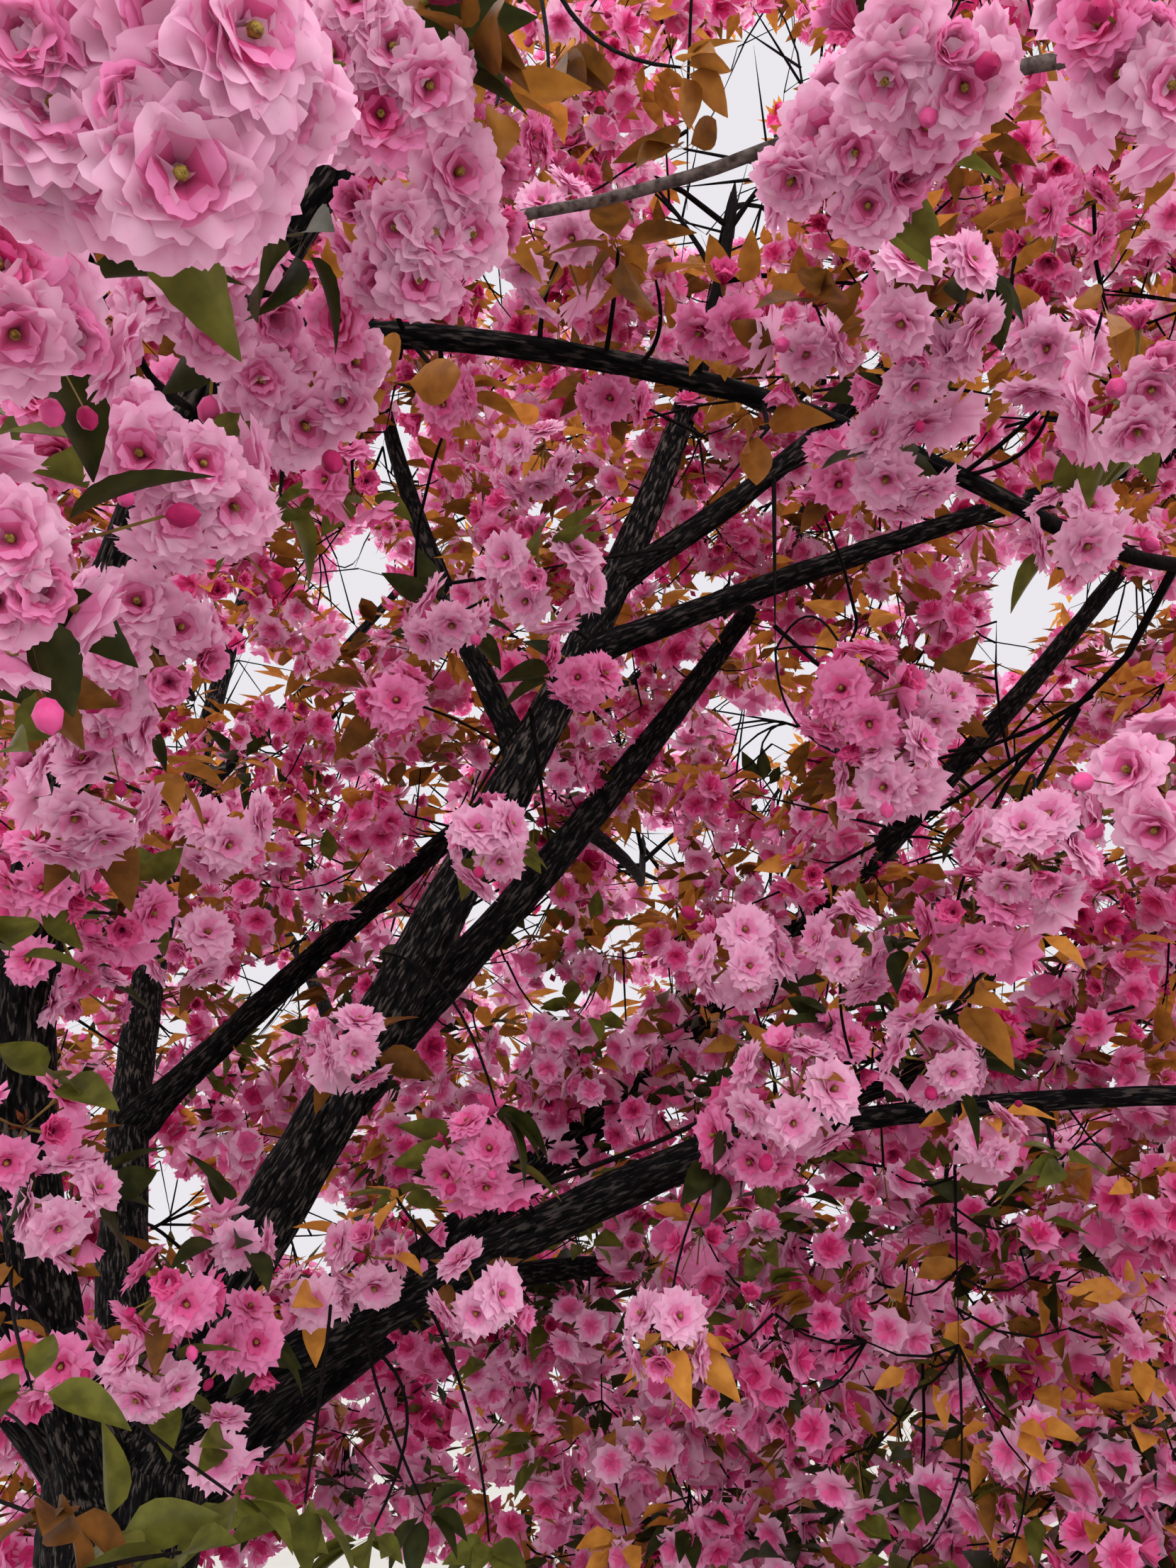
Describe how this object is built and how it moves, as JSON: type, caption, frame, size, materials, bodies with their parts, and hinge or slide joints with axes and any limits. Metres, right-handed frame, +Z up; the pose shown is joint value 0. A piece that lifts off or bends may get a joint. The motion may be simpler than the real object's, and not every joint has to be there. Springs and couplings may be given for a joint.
{
  "type": "cherry blossom tree",
  "caption": "Small spreading cherry tree in full double pink blossom, with a short leaning trunk, arching boughs and bronze young leaves.",
  "frame": {"origin": "middle of the flat cut under the trunk, at ground level", "axes": "+Z up the tree; +X to the right and +Y away from the viewer, as the tree is seen in the picture"},
  "size_m": [5.5243, 5.4139, 5.3034],
  "materials": {
    "bark": "rough dark grey bark with fine fissures and pale crosswise pores",
    "blossom": "soft matt petals, mid pink with paler edges and deep pink buds"
  },
  "bodies": {
    "root": {"trunk": "bark", "main_bough": "bark", "near_bough": "bark", "leader_bough": "bark", "low_bough": "bark", "low_far_bough": "bark", "low_left_bough": "bark", "back_right_bough": "bark", "back_bough": "bark", "back_left_bough": "bark", "left_bough": "bark", "front_left_bough": "bark", "right_bough": "bark", "middle_bough": "bark", "twin_bough": "bark", "top_branch": "bark", "near_right_branch": "bark", "near_left_branch": "bark", "near_low_branch": "bark", "far_bough": "bark", "leader_left_branch": "bark", "leader_right_branch": "bark", "middle_low_branch": "bark", "low_back_branch": "bark", "low_front_branch": "bark", "back_right_branch": "bark", "back_branch": "bark", "back_left_branch": "bark", "left_branch": "bark", "front_left_branch": "bark", "main_bough_blossom": "blossom", "near_bough_blossom": "blossom", "leader_bough_blossom": "blossom", "low_bough_blossom": "blossom", "low_far_bough_blossom": "blossom", "low_left_bough_blossom": "blossom", "back_right_bough_blossom": "blossom", "back_bough_blossom": "blossom", "back_left_bough_blossom": "blossom", "left_bough_blossom": "blossom", "front_left_bough_blossom": "blossom", "right_bough_blossom": "blossom", "middle_bough_blossom": "blossom", "twin_bough_blossom": "blossom", "top_branch_blossom": "blossom", "near_right_branch_blossom": "blossom", "near_left_branch_blossom": "blossom", "near_low_branch_blossom": "blossom", "far_bough_blossom": "blossom", "leader_left_branch_blossom": "blossom", "leader_right_branch_blossom": "blossom", "middle_low_branch_blossom": "blossom", "low_back_branch_blossom": "blossom", "low_front_branch_blossom": "blossom", "back_right_branch_blossom": "blossom", "back_branch_blossom": "blossom", "back_left_branch_blossom": "blossom", "left_branch_blossom": "blossom", "front_left_branch_blossom": "blossom"}
  },
  "joints": []
}
